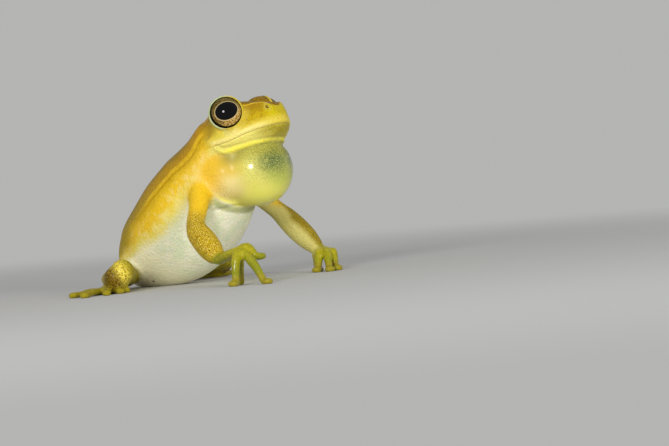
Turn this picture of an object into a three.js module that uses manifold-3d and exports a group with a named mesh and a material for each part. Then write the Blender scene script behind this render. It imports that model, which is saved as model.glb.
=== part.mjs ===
import * as THREE from "three";
import { mergeVertices } from "three/addons/utils/BufferGeometryUtils.js";
import Module from "manifold-3d";

// Small yellow treefrog, a calling male that sits up with its throat sac full of air.
// Millimetres: +X is forward, +Y the frog's left, +Z up. The origin is the middle of the flat
// under the belly, which rests on the floor with the fingers and toes.

const wasm = await Module();
wasm.setup();

// Clear width of the thin cuts that part the body, and of the gap round each eye
const CUT = 0.25;
const EYE_GAP = 0.08;

// Facets of each solid: how many round it, and how many rings along it
const FACETS = {
  trunk: [24, 18], head: [22, 14], eye: [14, 9], mound: [14, 11], sac: [20, 13], throat: [14, 9],
  arm: [12, 18], palm: [8, 7], digit: [6, 8], leg: [12, 10], sole: [8, 7],
};

// The trunk leans back from the vent to the nape. Each stop has its place on the middle plane,
// half the width there, and the depth of the body on its back side and its belly side.
const TRUNK = [
  { name: "vent", x: -4.2, z: 2.0, half: 1.5, back: 1.6, belly: 1.5 },
  { name: "rump", x: -1.7, z: 2.65, half: 3.1, back: 3.45, belly: 3.05 },
  { name: "loin", x: 1.2, z: 4.2, half: 4.4, back: 4.35, belly: 4.5 },
  { name: "belly", x: 3.8, z: 6.2, half: 4.9, back: 4.75, belly: 4.85 },
  { name: "chest", x: 6.0, z: 8.8, half: 4.5, back: 4.3, belly: 4.5 },
  { name: "shoulder", x: 7.5, z: 11.1, half: 4.05, back: 3.25, belly: 3.3 },
  { name: "neck", x: 8.4, z: 12.9, half: 3.65, back: 2.5, belly: 2.4 },
  { name: "nape", x: 9.2, z: 14.0, half: 2.8, back: 1.85, belly: 1.6 },
];
const TRUNK_SQUARENESS = 2.1;
const TRUNK_ROUNDS = [1.6, 1.2]; // lengths over which the vent and the nape round off

// Head frame: it starts midway between the jaw corners, tilted up, with the left eye a little low
const JAW = new THREE.Vector3(9.0, 0, 12.3);
const HEAD_PITCH = THREE.MathUtils.degToRad(12.7);
const HEAD_ROLL = THREE.MathUtils.degToRad(1.8);

// Half sections of the head from the jaw corners (at 0) to the snout: crown height, then half
// width and height of the ridge over the cheek, of the lip and of the lower jaw, and chin height
const HEAD = [
  { at: -1.6, crown: 2.9, ridge: [2.2, 2.3], lip: [3.4, 0.2], jaw: [2.7, -1.6], chin: -2.3 },
  { at: 0.0, crown: 3.25, ridge: [2.3, 2.75], lip: [3.95, -0.1], jaw: [3.0, -1.4], chin: -2.0 },
  { at: 1.7, crown: 3.35, ridge: [2.15, 2.95], lip: [3.85, -0.15], jaw: [2.9, -1.3], chin: -1.8 },
  { at: 3.1, crown: 3.0, ridge: [2.15, 2.78], lip: [3.35, 0.05], jaw: [2.5, -1.2], chin: -1.6 },
  { at: 4.3, crown: 2.58, ridge: [1.85, 2.45], lip: [2.75, 0.2], jaw: [1.8, -0.85], chin: -1.1 },
  { at: 5.1, crown: 2.3, ridge: [1.7, 2.2], lip: [2.25, 0.3], jaw: [1.2, -0.4], chin: -0.55 },
  { at: 5.92, crown: 1.75, ridge: [1.4, 1.6], lip: [1.75, 0.35], jaw: [0.8, 0.0], chin: -0.08 },
];
const HEAD_CORE = 0.42; // height that the head's ends close on
const SNOUT_ROUND_WIDE = 1.7; // length over which the snout rounds, seen from above
const SNOUT_ROUND_DEEP = 0.75; // the same seen from the side, where the snout is blunt
const OCCIPUT_ROUND = 1.2;
// Points that round the half section off: between chin and jaw at shares of the jaw's width and the
// chin's depth, between lip and ridge at shares of both, and the crown's drop half way to the ridge
const CHIN_SIDE = { width: 0.62, depth: 0.9 };
const CHEEK = { lipWidth: 0.55, ridgeWidth: 0.5, ridgeHeight: 0.55 };
const CROWN_DROP = 0.08;

// Eyeballs, their gaze (forward, outward, up in the head frame) and the mounds that hold them
const EYE = { forward: 2.05, out: 3.1, up: 2.19, radius: 1.44 };
const GAZE = new THREE.Vector3(0.52, 0.85, 0.08).normalize();
const MOUND_RADIUS = 1.73;
const MOUND_BEHIND = 0.3; // the mound's centre lies this far behind the eyeball's
const LID_AHEAD = 0.22; // the mound ends in a narrow rim, this far ahead of the eyeball's centre

// Cut between head and trunk
const NECK_CUT = new THREE.Vector3(7.9, 0, 12.4);
const NECK_CUT_PITCH = THREE.MathUtils.degToRad(35);

// Throat sac, full of air, and the wide bulge of throat skin behind it
const SAC_AT = new THREE.Vector3(11.3, 0, 9.7);
const SAC_RADII = new THREE.Vector3(3.15, 3.25, 3.15);
const THROAT_AT = new THREE.Vector3(9.1, 0, 9.65);
const THROAT_RADII = new THREE.Vector3(3.1, 4.1, 2.85);

// Arms: joints, and radii at fractions of the upper arm and the forearm (wide, deep)
const ARMS = {
  right: { shoulder: [7.3, -3.2, 8.8], elbow: [8.9, -7.1, 5.1], wrist: [12.2, -8.8, 2.3] },
  left: { shoulder: [7.3, 3.2, 8.8], elbow: [8.6, 7.5, 5.55], wrist: [11.6, 8.6, 1.95] },
};
const ARM_ROUNDS = [0.9, 0.4];
const UPPER_ARM = [[-0.25, 1.1, 1.1], [0.15, 1.0, 1.0], [0.5, 0.85, 0.85], [0.88, 0.84, 0.84]];
const FOREARM = [[0.12, 1.0, 1.0], [0.36, 1.12, 1.08], [0.66, 1.08, 1.02], [0.9, 0.86, 0.76], [1.0, 0.72, 0.6]];

// Hands: the middle of the knuckles in the air, the line across them from the little side to the
// thumb side, and the tips of fingers I to IV. A tip rests on the floor unless it has a height.
const DISC_HEIGHT = 0.22; // height of the middle of a finger or toe disc over the floor
const DISC_LENGTH = 0.85; // the last stretch of each finger and toe, which lies flat
const HANDS = {
  right: {
    knuckle: [14.6, -9.2, 2.95], across: [-0.45, 0.89],
    tips: [[13.3, -8.4], [16.7, -8.05, 2.35], [18.3, -10.0], [15.0, -11.4]],
  },
  left: {
    knuckle: [12.25, 8.4, 1.9], across: [-0.85, -0.53],
    tips: [[12.3, 7.35], [12.5, 6.2], [14.05, 6.35], [14.05, 8.0]],
  },
};
const FINGER_ROOTS = [0.75, 0.3, -0.15, -0.65]; // places of the roots on the line across the knuckles
const PALM = [[-0.15, 0.55, 0.46], [0.25, 0.66, 0.44], [0.7, 0.86, 0.42], [1.15, 0.84, 0.36]];
const PALM_ROUNDS = [0.3, 0.45];
const FINGER = { root: 0.44, shaft: 0.38, disc: 0.5, discDepth: 0.3, arch: 0.55 };
// Fingers and toes: radius along the shaft, with one swollen joint, and width along the disc, as
// shares of the shaft's radius and of the disc's half width
const DIGIT_SHAFT = [[0.3, 1], [0.52, 1.12], [0.76, 0.95]];
const DIGIT_DISC = [[0, 0.72], [0.5, 1], [1, 0.85]];
const DIGIT_ROUNDS = [0.3, 0.35];

// Legs folded beside the belly, the shank over the foot. The left leg lies further back.
const LEGS = {
  right: { hip: [-2.5, -2.5, 1.0], knee: [3.5, -11.1, 2.0], heel: [-3.2, -4.0, 1.0], ankle: [0.0, -8.5], aim: 56 },
  left: { hip: [-2.2, 2.4, 1.0], knee: [0.6, 11.3, 2.0], heel: [-5.2, 3.3, 1.0], ankle: [-3.0, 8.5], aim: 82 },
};
const THIGH_ROUNDS = [1.0, 1.1];
const SHANK_ROUNDS = [1.0, 0.6];
const THIGH = [[-0.05, 1.15, 0.85], [0.2, 1.2, 0.88], [0.5, 1.2, 0.92], [0.8, 1.1, 1.05], [0.97, 0.98, 1.2]];
const SHANK = [[-0.04, 0.86, 1.1], [0.2, 0.92, 0.92], [0.45, 0.92, 0.78], [0.75, 0.78, 0.66], [1.0, 0.58, 0.5]];
const SHANK_START = new THREE.Vector3(-0.9, -0.1, -0.6); // from the knee: back, outward, up
const TARSUS = [[0.0, 0.5, 0.3], [0.3, 0.52, 0.3], [0.7, 0.55, 0.29], [1.05, 0.72, 0.28]];
const TARSUS_HEIGHT = 0.28;
const TARSUS_ROUNDS = [0.5, 0.5];
const TOE_START = 0.3; // distance of the toes' roots ahead of the ankle
const TOE = { root: 0.3, shaft: 0.28, disc: 0.43, discDepth: 0.28, arch: 0.08 };
const TOES = [{ length: 3.4, turn: -32 }, { length: 4.5, turn: -16 }, { length: 5.9, turn: 0 },
  { length: 7.4, turn: 16 }, { length: 6.0, turn: 32 }];
// The web reaches these shares of the toes' lengths, on the toes and between them
const WEB = { onToe: 0.5, between: 0.36, thickness: 0.5, behindAnkle: 0.4 };

const SKIN = new THREE.Color("#d9a51c");
const BELLY_SKIN = new THREE.Color("#e4c64a");
const LIMB_SKIN = new THREE.Color("#d8a227");
const HAND_SKIN = new THREE.Color("#cdb62e");
const SAC_SKIN = new THREE.Color("#cfc964");
const EYE_COLOUR = new THREE.Color("#2a1c10");

const UP = new THREE.Vector3(0, 0, 1);
const FAR = 60; // side of the blocks that cut the body, larger than the frog
const SKIN_ROUGHNESS = 0.4;
const MOIST_ROUGHNESS = 0.3;
const EYE_ROUGHNESS = 0.05;

const vector = (p) => new THREE.Vector3(...p);
const radians = THREE.MathUtils.degToRad;

// Round-off of a body's end: 0 at the tip, 1 once the length of the round is passed
function roundOff(distance, length) {
  const left = 1 - Math.min(1, distance / length);
  return Math.sqrt(Math.max(0, 1 - left * left));
}

function solidFrom(geometry) {
  const shape = geometry.clone();
  shape.deleteAttribute("normal");
  shape.deleteAttribute("uv");
  const merged = mergeVertices(shape, 1e-5);
  const triVerts = new Uint32Array(merged.index.array);
  const vertProperties = new Float32Array(merged.attributes.position.array);
  return new wasm.Manifold(new wasm.Mesh({ numProp: 3, vertProperties, triVerts }));
}

function geometryFrom(solid) {
  const mesh = solid.getMesh();
  const geometry = new THREE.BufferGeometry();
  geometry.setAttribute("position", new THREE.BufferAttribute(new Float32Array(mesh.vertProperties), 3));
  geometry.setIndex(new THREE.BufferAttribute(new Uint32Array(mesh.triVerts), 1));
  geometry.computeVertexNormals();
  return geometry;
}

// A rounded body along a smooth spine. Each stop has a place, a half width and the depth above and
// below the spine. It is a sphere's net drawn out along the spine, and grow makes it thicker.
const RINGS_TO_ENDS = 0.55; // share by which the rings crowd towards both ends
function along(stops, [sides, rings], [startRound, endRound], { squareness = 2, grow = 0 } = {}) {
  const spine = new THREE.CatmullRomCurve3(stops.map((s) => s.at), false, "catmullrom");
  const sizes = new THREE.CatmullRomCurve3(
    stops.map((s) => new THREE.Vector3(s.half, s.above, s.below)), false, "catmullrom");
  spine.arcLengthDivisions = 400;
  const length = spine.getLength();
  const net = new THREE.SphereGeometry(1, sides, rings);
  const position = net.attributes.position;
  const power = 2 / squareness;
  for (let i = 0; i < position.count; i++) {
    const turn = Math.acos(THREE.MathUtils.clamp(position.getY(i), -1, 1)) / Math.PI;
    const crowded = 0.5 - 0.5 * Math.cos(turn * Math.PI);
    const share = THREE.MathUtils.lerp(turn, crowded, RINGS_TO_ENDS);
    const t = spine.getUtoTmapping(share);
    const centre = spine.getPoint(t);
    const tangent = spine.getTangent(t);
    const side = new THREE.Vector3().crossVectors(UP, tangent).normalize();
    const top = new THREE.Vector3().crossVectors(tangent, side);
    const size = sizes.getPoint(t);
    const round = roundOff(share * length, startRound) * roundOff((1 - share) * length, endRound);
    const angle = Math.atan2(position.getZ(i), position.getX(i));
    const across = Math.sign(Math.cos(angle)) * Math.abs(Math.cos(angle)) ** power;
    const upward = Math.sign(Math.sin(angle)) * Math.abs(Math.sin(angle)) ** power;
    const onTip = i < sides + 1 || i >= position.count - sides - 1;
    const wide = onTip ? 0 : (size.x * round + grow) * across;
    const deep = onTip ? 0 : ((upward > 0 ? size.y : size.z) * round + grow) * upward;
    const push = onTip ? (turn < 0.5 ? -grow : grow) : 0;
    const point = centre.addScaledVector(side, wide).addScaledVector(top, deep).addScaledVector(tangent, push);
    position.setXYZ(i, point.x, point.y, point.z);
  }
  return solidFrom(net);
}

function ball(centre, radii, [sides, rings], grow = 0) {
  const net = new THREE.SphereGeometry(1, sides, rings);
  net.scale(radii.x + grow, radii.y + grow, radii.z + grow);
  net.translate(centre.x, centre.y, centre.z);
  return solidFrom(net);
}

// Block that fills everything ahead of a plane, in the plane's direction
function beyond(point, direction, offset = 0) {
  const block = new THREE.BoxGeometry(FAR, FAR, FAR);
  const turn = new THREE.Quaternion().setFromUnitVectors(UP, direction.clone().normalize());
  const centre = point.clone().addScaledVector(direction.clone().normalize(), FAR / 2 + offset);
  block.applyMatrix4(new THREE.Matrix4().compose(centre, turn, new THREE.Vector3(1, 1, 1)));
  return solidFrom(block);
}
const aboveFloor = (solid) => solid.intersect(beyond(new THREE.Vector3(), UP));

// Stops between two joints, at fractions of the way, with their half widths and depths
function between(from, to, profile) {
  return profile.map(([share, half, deep]) => ({
    at: from.clone().lerp(to, share), half, above: deep, below: deep,
  }));
}

const forward = new THREE.Vector3(Math.cos(HEAD_PITCH), 0, Math.sin(HEAD_PITCH));
const level = new THREE.Vector3(0, 1, 0);
const leftward = level.clone().applyAxisAngle(forward, -HEAD_ROLL);
const upward = new THREE.Vector3().crossVectors(forward, leftward);
function inHead(ahead, out, up) {
  return JAW.clone().addScaledVector(forward, ahead).addScaledVector(leftward, out).addScaledVector(upward, up);
}

function trunkSolid(grow = 0) {
  const stops = TRUNK.map((s) => ({
    at: new THREE.Vector3(s.x, 0, s.z), half: s.half, above: s.back, below: s.belly,
  }));
  return along(stops, FACETS.trunk, TRUNK_ROUNDS, { squareness: TRUNK_SQUARENESS, grow });
}

// The head is a sphere's net too: its rings become the head's sections, from the occiput forward
const RINGS_TO_SNOUT = 0.5; // share by which the rings crowd towards the snout
function skullSolid() {
  const columns = [
    HEAD.map((s) => new THREE.Vector3(s.at, s.crown, s.chin)),
    HEAD.map((s) => new THREE.Vector3(...s.ridge, s.lip[0])),
    HEAD.map((s) => new THREE.Vector3(s.lip[1], ...s.jaw)),
  ].map((points) => new THREE.CatmullRomCurve3(points, false, "catmullrom"));
  const net = new THREE.SphereGeometry(1, ...FACETS.head);
  const position = net.attributes.position;
  const last = HEAD[HEAD.length - 1].at;
  const first = HEAD[0].at;
  for (let i = 0; i < position.count; i++) {
    const turn = Math.acos(THREE.MathUtils.clamp(position.getY(i), -1, 1)) / Math.PI;
    const t = THREE.MathUtils.lerp(turn, Math.sin(turn * Math.PI / 2), RINGS_TO_SNOUT);
    const [a, b, c] = columns.map((curve) => curve.getPoint(t));
    const [at, crown, chin] = a.toArray();
    const [ridgeOut, ridgeUp, lipOut] = b.toArray();
    const [lipUp, jawOut, jawUp] = c.toArray();
    const half = new THREE.SplineCurve([
      new THREE.Vector2(0, chin),
      new THREE.Vector2(CHIN_SIDE.width * jawOut, THREE.MathUtils.lerp(jawUp, chin, CHIN_SIDE.depth)),
      new THREE.Vector2(jawOut, jawUp),
      new THREE.Vector2(lipOut, lipUp),
      new THREE.Vector2(
        CHEEK.lipWidth * lipOut + CHEEK.ridgeWidth * ridgeOut,
        THREE.MathUtils.lerp(lipUp, ridgeUp, CHEEK.ridgeHeight)),
      new THREE.Vector2(ridgeOut, ridgeUp),
      new THREE.Vector2(ridgeOut / 2, crown - CROWN_DROP),
      new THREE.Vector2(0, crown),
    ]);
    const angle = Math.atan2(Math.abs(position.getX(i)), -position.getZ(i)) / Math.PI;
    const point = half.getPoint(angle);
    const toSnout = last - at;
    const closeBack = roundOff(at - first, OCCIPUT_ROUND);
    const wide = point.x * closeBack * roundOff(toSnout, SNOUT_ROUND_WIDE);
    const high = HEAD_CORE + (point.y - HEAD_CORE) * closeBack * roundOff(toSnout, SNOUT_ROUND_DEEP);
    const place = inHead(at, Math.sign(position.getX(i)) * wide, high);
    position.setXYZ(i, place.x, place.y, place.z);
  }
  return solidFrom(net);
}

// Side is 1 on the frog's left and -1 on its right
const gazeOf = (side) => forward.clone().multiplyScalar(GAZE.x)
  .addScaledVector(leftward, side * GAZE.y).addScaledVector(upward, GAZE.z);
const eyeCentre = (side) => inHead(EYE.forward, side * EYE.out, EYE.up);
const round = (radius) => new THREE.Vector3(radius, radius, radius);
const eyeSolid = (side, grow = 0) => ball(eyeCentre(side), round(EYE.radius), FACETS.eye, grow);
function moundSolid(side) {
  const centre = eyeCentre(side).addScaledVector(gazeOf(side), -MOUND_BEHIND);
  const rim = eyeCentre(side).addScaledVector(gazeOf(side), LID_AHEAD);
  return ball(centre, round(MOUND_RADIUS), FACETS.mound).intersect(beyond(rim, gazeOf(side).negate()));
}
const sacSolid = (grow = 0) => ball(SAC_AT, SAC_RADII, FACETS.sac, grow)
  .add(ball(THROAT_AT, THROAT_RADII, FACETS.throat, grow));

function headAndTrunk() {
  const neckCutAhead = new THREE.Vector3(Math.cos(NECK_CUT_PITCH), 0, Math.sin(NECK_CUT_PITCH));
  const whole = trunkSolid().add(skullSolid()).add(moundSolid(1)).add(moundSolid(-1)).subtract(sacSolid(CUT));
  const head = whole.intersect(beyond(NECK_CUT, neckCutAhead, CUT / 2))
    .subtract(eyeSolid(1, EYE_GAP)).subtract(eyeSolid(-1, EYE_GAP));
  const trunk = whole.intersect(beyond(NECK_CUT, neckCutAhead.clone().negate(), CUT / 2));
  return { head, trunk: aboveFloor(trunk) };
}

// A finger or toe: arched from its root down to the disc, which lies flat on the floor
function digit(root, tip, { root: rootRadius, shaft, disc, discDepth, arch }) {
  const heading = tip.clone().sub(root).setZ(0).normalize();
  const discStart = tip.clone().addScaledVector(heading, -DISC_LENGTH);
  const onShaft = (share, radius) => ({
    at: root.clone().lerp(discStart, share).addScaledVector(UP, arch * Math.sin(Math.PI * share)),
    half: radius, above: radius, below: radius,
  });
  const onDisc = (share, width) => ({
    at: discStart.clone().lerp(tip, share), half: width * disc, above: discDepth, below: discDepth,
  });
  const stops = [
    onShaft(0, rootRadius),
    ...DIGIT_SHAFT.map(([share, size]) => onShaft(share, size * shaft)),
    ...DIGIT_DISC.map(([share, width]) => onDisc(share, width)),
  ];
  return along(stops, FACETS.digit, DIGIT_ROUNDS);
}

function armParts(name) {
  const [shoulder, elbow, wrist] = ["shoulder", "elbow", "wrist"].map((joint) => vector(ARMS[name][joint]));
  const stops = [...between(shoulder, elbow, UPPER_ARM), ...between(elbow, wrist, FOREARM)];
  const arm = along(stops, FACETS.arm, ARM_ROUNDS);
  const bend = wrist.clone().sub(elbow).normalize().add(elbow.clone().sub(shoulder).normalize());
  const knuckle = vector(HANDS[name].knuckle);
  const reach = knuckle.clone().sub(wrist).normalize().add(wrist.clone().sub(elbow).normalize());

  const palm = along(between(wrist, knuckle, PALM), FACETS.palm, PALM_ROUNDS);
  const across = vector([...HANDS[name].across, 0]);
  const fingers = HANDS[name].tips.map(([x, y, z = DISC_HEIGHT], i) => {
    const root = knuckle.clone().addScaledVector(across, FINGER_ROOTS[i]);
    return digit(root, new THREE.Vector3(x, y, z), FINGER);
  });
  const hand = fingers.reduce((whole, finger) => whole.add(finger), palm);
  const above = beyond(elbow, bend.clone().negate(), CUT / 2);
  const below = beyond(elbow, bend, CUT / 2);
  const beforeHand = beyond(wrist, reach.clone().negate(), CUT / 2);
  return {
    upper_arm: arm.intersect(above).subtract(trunkSolid(CUT)).subtract(sacSolid(CUT)),
    forearm: arm.intersect(below).intersect(beforeHand),
    hand: aboveFloor(hand.intersect(beyond(wrist, reach, CUT / 2))),
  };
}

function footSolid(name) {
  const side = name === "left" ? 1 : -1;
  const { heel, ankle, aim } = LEGS[name];
  const start = new THREE.Vector3(heel[0], heel[1], TARSUS_HEIGHT);
  const end = new THREE.Vector3(ankle[0], ankle[1], TARSUS_HEIGHT);
  let foot = along(between(start, end, TARSUS), FACETS.sole, TARSUS_ROUNDS);
  const heading = (turn) => {
    const angle = radians(aim + turn);
    return new THREE.Vector3(Math.cos(angle), side * Math.sin(angle), 0);
  };
  for (const { length, turn } of TOES) {
    const tip = end.clone().addScaledVector(heading(turn), length).setZ(DISC_HEIGHT);
    foot = foot.add(digit(end.clone().addScaledVector(heading(turn), TOE_START), tip, TOE));
  }
  const edge = [end.clone().addScaledVector(heading(180), WEB.behindAnkle)];
  TOES.forEach((toe, i) => {
    edge.push(end.clone().addScaledVector(heading(toe.turn), WEB.onToe * toe.length));
    const next = TOES[i + 1];
    if (!next) return;
    const dip = WEB.between * Math.min(toe.length, next.length);
    edge.push(end.clone().addScaledVector(heading((toe.turn + next.turn) / 2), dip));
  });
  const outline = new THREE.Shape(edge.map((p) => new THREE.Vector2(p.x, p.y)));
  const web = new THREE.ExtrudeGeometry(outline, { depth: WEB.thickness, bevelEnabled: false });
  return foot.add(solidFrom(web));
}

function legParts(name) {
  const side = name === "left" ? 1 : -1;
  const [hip, knee, heel] = ["hip", "knee", "heel"].map((joint) => vector(LEGS[name][joint]));
  const thighStops = between(hip, knee, THIGH);
  const thighSolid = (grow) => along(thighStops, FACETS.leg, THIGH_ROUNDS, { grow });
  const shankTop = knee.clone().add(new THREE.Vector3(SHANK_START.x, side * SHANK_START.y, SHANK_START.z));
  const shank = along(between(shankTop, heel, SHANK), FACETS.leg, SHANK_ROUNDS);
  const foot = aboveFloor(footSolid(name));
  const roomForFoot = foot.add(foot.translate(0, 0, CUT));
  return {
    thigh: thighSolid(0).subtract(trunkSolid(CUT)).subtract(roomForFoot),
    shank: shank.subtract(thighSolid(CUT)).subtract(roomForFoot),
    foot,
  };
}

function part(name, solid, colour, roughness) {
  const material = new THREE.MeshStandardMaterial({ color: colour, roughness, metalness: 0 });
  const mesh = new THREE.Mesh(geometryFrom(solid), material);
  mesh.name = name;
  return mesh;
}

const frog = new THREE.Group();
const { head, trunk } = headAndTrunk();
frog.add(part("head", head, SKIN, SKIN_ROUGHNESS));
frog.add(part("trunk", trunk, BELLY_SKIN, SKIN_ROUGHNESS));
frog.add(part("vocal_sac", sacSolid(), SAC_SKIN, MOIST_ROUGHNESS));
for (const [name, side] of [["left", 1], ["right", -1]]) {
  frog.add(part(`eye_${name}`, eyeSolid(side), EYE_COLOUR, EYE_ROUGHNESS));
  const arm = armParts(name);
  frog.add(part(`upper_arm_${name}`, arm.upper_arm, LIMB_SKIN, SKIN_ROUGHNESS));
  frog.add(part(`forearm_${name}`, arm.forearm, LIMB_SKIN, SKIN_ROUGHNESS));
  frog.add(part(`hand_${name}`, arm.hand, HAND_SKIN, MOIST_ROUGHNESS));
  const leg = legParts(name);
  frog.add(part(`thigh_${name}`, leg.thigh, LIMB_SKIN, SKIN_ROUGHNESS));
  frog.add(part(`shank_${name}`, leg.shank, LIMB_SKIN, SKIN_ROUGHNESS));
  frog.add(part(`foot_${name}`, leg.foot, HAND_SKIN, MOIST_ROUGHNESS));
}

export default frog;
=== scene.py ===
from types import SimpleNamespace

import bmesh
import bpy
import numpy as np
from mathutils import Matrix, Vector


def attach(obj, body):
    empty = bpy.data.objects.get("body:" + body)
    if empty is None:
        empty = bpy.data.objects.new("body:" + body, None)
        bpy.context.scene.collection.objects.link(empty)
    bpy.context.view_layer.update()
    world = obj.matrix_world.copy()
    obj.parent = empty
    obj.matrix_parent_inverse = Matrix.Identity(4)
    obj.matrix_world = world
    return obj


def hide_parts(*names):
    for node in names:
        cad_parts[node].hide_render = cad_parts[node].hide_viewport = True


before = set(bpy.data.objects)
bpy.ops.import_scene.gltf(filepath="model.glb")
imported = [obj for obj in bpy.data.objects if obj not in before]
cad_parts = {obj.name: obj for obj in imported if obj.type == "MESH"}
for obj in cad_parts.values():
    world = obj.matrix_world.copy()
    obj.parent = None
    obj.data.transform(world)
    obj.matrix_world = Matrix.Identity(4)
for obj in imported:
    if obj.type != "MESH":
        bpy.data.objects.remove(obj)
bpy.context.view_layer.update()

# Trunk: the soft barrel of the body, leaning back from the vent to the nape. Each piece of flesh is
# first drawn as a closed body in millimetres, and one moist skin is then grown over all of them.
# Its stops give place (x, y, z), half width, and depth on the back and on the belly side.
UP = np.array([0.0, 0.0, 1.0])
TRUNK_STOPS = [
    [-4.2, 0, 2.0, 1.5, 1.6, 1.5],
    [-1.7, 0, 2.65, 3.1, 3.45, 3.05],
    [1.2, 0, 4.2, 4.4, 4.35, 4.5],
    [3.8, 0, 6.2, 4.9, 4.75, 4.85],
    [6.0, 0, 8.8, 4.5, 4.3, 4.5],
    [7.5, 0, 11.1, 4.05, 3.25, 3.3],
    [8.4, 0, 12.9, 3.65, 2.5, 2.4],
    [9.2, 0, 14.0, 2.8, 1.85, 1.6],
]
TRUNK_SQUARENESS = 2.1
TRUNK_ROUNDS = 1.6, 1.2  # lengths over which the vent and the nape round off
TRUNK_NET = 90, 96  # rings and sides
BLOCK = 20000  # points compared with a line at once, to spare memory


def spline(rows, shares):
    """Smooth curve through the rows, at shares of the way from 0 to 1: between two rows each value is the
    cubic that leaves and arrives with half the step between the rows on either side (Catmull-Rom)."""
    rows = np.asarray(rows, float)
    rows = np.vstack([2 * rows[0] - rows[1], rows, 2 * rows[-1] - rows[-2]])
    place = np.clip(np.atleast_1d(shares), 0, 1) * (len(rows) - 3)
    i = np.minimum(place.astype(int), len(rows) - 4)
    f = (place - i)[:, None]
    a, b, c, d = rows[i], rows[i + 1], rows[i + 2], rows[i + 3]
    return b + 0.5 * f * (c - a + f * (2 * a - 5 * b + 4 * c - d + f * (3 * b - a - 3 * c + d)))


def unit(vectors):
    """Vectors divided by their lengths."""
    return vectors / np.maximum(np.linalg.norm(vectors, axis=-1, keepdims=True), 1e-12)


def round_off(distance, length):
    """Quarter circle: 0 at the tip of a body, 1 once the length of its rounded end is passed."""
    left = 1 - np.clip(distance / length, 0, 1)
    return np.sqrt(np.clip(1 - left * left, 0, 1))


def nearest(points, line):
    """For each point the index of the closest point of the line."""
    blocks = np.array_split(points, 1 + len(points) // BLOCK)
    return np.concatenate([((block[:, None] - line) ** 2).sum(2).argmin(1) for block in blocks])


def net(rings, first, last):
    """Triangles over rings of points, each ring joined to the next and the end rings closed on a tip."""
    count, sides = rings.shape[:2]
    here = np.arange(sides)
    there = np.roll(here, -1)
    row = np.arange(count - 1)[:, None] * sides
    a, b, c, d = row + here, row + there, row + sides + there, row + sides + here
    walls = np.concatenate([np.stack([a, b, c], -1), np.stack([a, c, d], -1)]).reshape(-1, 3)
    first_tip = count * sides
    end = first_tip - sides
    low = np.stack([np.full(sides, first_tip), there, here], -1)
    high = np.stack([np.full(sides, first_tip + 1), end + here, end + there], -1)
    return np.vstack([rings.reshape(-1, 3), first, last]), np.concatenate([walls, low, high])


class Limb:
    """A rounded body along a smooth spine. Its surface is a function of the share of the way along and the
    angle from the top: the spine's point, plus half width times the angle's sine to the side, plus depth
    times its cosine upwards, both shrunk by a quarter circle at each end and squared off."""

    SAMPLES = 200
    STRIDE = 4  # samples skipped in the search for the nearest one
    CROWDING = 0.55  # share by which the rings crowd towards both ends

    def __init__(self, stops, rounds, squareness=2.0):
        fine = spline(stops, np.linspace(0, 1, self.SAMPLES))
        steps = np.linalg.norm(np.diff(fine[:, :3], axis=0), axis=1)
        run = np.concatenate([[0], np.cumsum(steps)])
        self.run = np.linspace(0, run[-1], self.SAMPLES)
        self.length = run[-1]
        even = np.stack([np.interp(self.run, run, column) for column in fine.T], 1)
        self.centre, self.sizes = even[:, :3], even[:, 3:]
        self.tangent = unit(np.gradient(self.centre, self.run, axis=0))
        self.side = unit(np.cross(UP, self.tangent))
        self.top = np.cross(self.tangent, self.side)
        self.rounds = rounds
        self.squareness = squareness

    def surface(self, rings, sides):
        """Rings at a mix of even shares of the length and half a cosine, so that they crowd at the ends."""
        turn = np.linspace(0, 1, rings + 1)[1:-1, None]
        share = turn + self.CROWDING * (0.5 - 0.5 * np.cos(np.pi * turn) - turn)
        angle = np.linspace(90, -270, sides, endpoint=False)
        return net(self.point(share, angle), self.centre[0], self.centre[-1])

    def along(self, table, at):
        """A table of values along the spine, read at distances from its start."""
        return np.stack([np.interp(at, self.run, column) for column in table.T], -1)

    def point(self, share, angle):
        """Points on the surface, at shares of the way along and angles in degrees from the top leftwards."""
        share, angle = np.broadcast_arrays(share, np.radians(angle))
        at = share * self.length
        ends = round_off(at, self.rounds[0]) * round_off(self.length - at, self.rounds[1])
        sizes = self.along(self.sizes, at) * ends[..., None]
        power = 2 / self.squareness
        across = np.sign(np.sin(angle)) * np.abs(np.sin(angle)) ** power * sizes[..., 0]
        upward = np.sign(np.cos(angle)) * np.abs(np.cos(angle)) ** power
        upward = upward * np.where(upward > 0, sizes[..., 1], sizes[..., 2])
        return (self.along(self.centre, at) + across[..., None] * self.along(self.side, at)
                + upward[..., None] * self.along(self.top, at))

    def place(self, points):
        """Share of the way along, offset to the side and upwards in half widths and depths, and the distance
        to the surface: (radius ratio - 1) over the ratio's slope."""
        sample = self.STRIDE * nearest(points, self.centre[::self.STRIDE])
        offset = points - self.centre[sample]
        run = self.run[sample] + (offset * self.tangent[sample]).sum(1)
        at = np.clip(run, 0, self.length)
        offset = points - self.along(self.centre, at)
        sizes = self.along(self.sizes, at)
        across = (offset * self.along(self.side, at)).sum(1)
        upward = (offset * self.along(self.top, at)).sum(1)
        depth = np.where(upward > 0, sizes[:, 1], sizes[:, 2])
        start = np.maximum(0, 1 - run / self.rounds[0])
        end = np.maximum(0, 1 - (self.length - run) / self.rounds[1])
        ratio = np.sqrt((across / sizes[:, 0]) ** 2 + (upward / depth) ** 2 + start**2 + end**2)
        slope = np.sqrt((across / sizes[:, 0] ** 2) ** 2 + (upward / depth**2) ** 2
                        + (start / self.rounds[0]) ** 2 + (end / self.rounds[1]) ** 2)
        distance = ratio * (ratio - 1) / np.maximum(slope, 1e-6)
        return at / self.length, across / sizes[:, 0], upward / depth, distance


trunk = Limb(TRUNK_STOPS, TRUNK_ROUNDS, TRUNK_SQUARENESS)
flesh = [trunk.surface(*TRUNK_NET)]

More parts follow.
